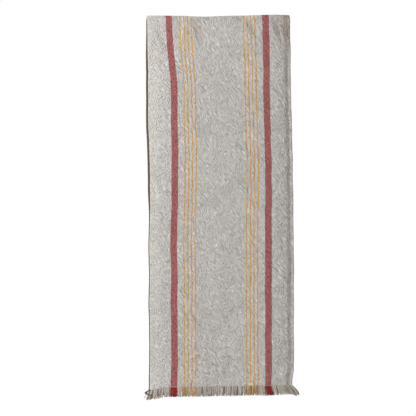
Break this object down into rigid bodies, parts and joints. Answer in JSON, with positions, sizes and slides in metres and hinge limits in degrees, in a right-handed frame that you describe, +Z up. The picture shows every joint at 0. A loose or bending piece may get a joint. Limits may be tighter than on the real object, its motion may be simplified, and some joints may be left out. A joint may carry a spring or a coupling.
{
  "type": "table runner",
  "caption": "Long striped woven cotton table runner with hemmed sides and frayed ends, folded in half over a slim rail.",
  "frame": {"origin": "middle of the fold's inner crest, where the folded cloth lies on its rail", "axes": "+X across the cloth to the right as seen from the front, +Y from the front half to the back half, +Z up"},
  "size_m": [0.3856, 0.0114, 0.9388],
  "materials": {
    "woven_cotton": "matt, stonewashed plain weave in pale grey beige with two red stripes and eight ochre lines",
    "sewing_thread": "matt spun thread",
    "natural_yarn": "matt loose taupe warp yarn",
    "red_yarn": "matt loose deep red warp yarn",
    "ochre_yarn": "matt loose ochre warp yarn"
  },
  "bodies": {
    "back_half": {"fold_crest": "woven_cotton", "back_cloth": "woven_cotton", "back_hem_left": "woven_cotton", "back_hem_stitch_left": "sewing_thread", "back_hem_right": "woven_cotton", "back_hem_stitch_right": "sewing_thread", "back_end_stitch": "sewing_thread"},
    "front_half": {"fold_front": "woven_cotton", "front_cloth": "woven_cotton", "front_hem_left": "woven_cotton", "front_hem_stitch_left": "sewing_thread", "front_hem_right": "woven_cotton", "front_hem_stitch_right": "sewing_thread", "front_end_stitch": "sewing_thread"},
    "front_fringe": {"front_fringe_tuft_left": "natural_yarn", "front_fringe_natural_left_1": "natural_yarn", "front_fringe_red_left": "red_yarn", "front_fringe_natural_left_2": "natural_yarn", "front_fringe_ochre_left_1": "ochre_yarn", "front_fringe_natural_left_3": "natural_yarn", "front_fringe_ochre_left_2": "ochre_yarn", "front_fringe_natural_left_4": "natural_yarn", "front_fringe_ochre_left_3": "ochre_yarn", "front_fringe_natural_left_5": "natural_yarn", "front_fringe_ochre_left_4": "ochre_yarn", "front_fringe_tuft_right": "natural_yarn", "front_fringe_natural_right_1": "natural_yarn", "front_fringe_red_right": "red_yarn", "front_fringe_natural_right_2": "natural_yarn", "front_fringe_ochre_right_1": "ochre_yarn", "front_fringe_natural_right_3": "natural_yarn", "front_fringe_ochre_right_2": "ochre_yarn", "front_fringe_natural_right_4": "natural_yarn", "front_fringe_ochre_right_3": "ochre_yarn", "front_fringe_natural_right_5": "natural_yarn", "front_fringe_ochre_right_4": "ochre_yarn", "front_fringe_natural_middle": "natural_yarn"},
    "back_fringe": {"back_fringe_tuft_left": "natural_yarn", "back_fringe_natural_left_1": "natural_yarn", "back_fringe_red_left": "red_yarn", "back_fringe_natural_left_2": "natural_yarn", "back_fringe_ochre_left_1": "ochre_yarn", "back_fringe_natural_left_3": "natural_yarn", "back_fringe_ochre_left_2": "ochre_yarn", "back_fringe_natural_left_4": "natural_yarn", "back_fringe_ochre_left_3": "ochre_yarn", "back_fringe_natural_left_5": "natural_yarn", "back_fringe_ochre_left_4": "ochre_yarn", "back_fringe_tuft_right": "natural_yarn", "back_fringe_natural_right_1": "natural_yarn", "back_fringe_red_right": "red_yarn", "back_fringe_natural_right_2": "natural_yarn", "back_fringe_ochre_right_1": "ochre_yarn", "back_fringe_natural_right_3": "natural_yarn", "back_fringe_ochre_right_2": "ochre_yarn", "back_fringe_natural_right_4": "natural_yarn", "back_fringe_ochre_right_3": "ochre_yarn", "back_fringe_natural_right_5": "natural_yarn", "back_fringe_ochre_right_4": "ochre_yarn", "back_fringe_natural_middle": "natural_yarn"}
  },
  "joints": [
    {"name": "unfold", "type": "hinge", "parent": "back_half", "child": "front_half", "pos_m": [0, 0, 0.00317], "axis": [-1, 0, 0], "range_deg": [0, 180]},
    {"name": "front_fringe_swing", "type": "hinge", "parent": "front_half", "child": "front_fringe", "pos_m": [0, -0.0045, -0.91183], "axis": [-1, 0, 0], "range_deg": [0, 90]},
    {"name": "back_fringe_swing", "type": "hinge", "parent": "back_half", "child": "back_fringe", "pos_m": [0, 0.0045, -0.91183], "axis": [1, 0, 0], "range_deg": [0, 90]}
  ]
}
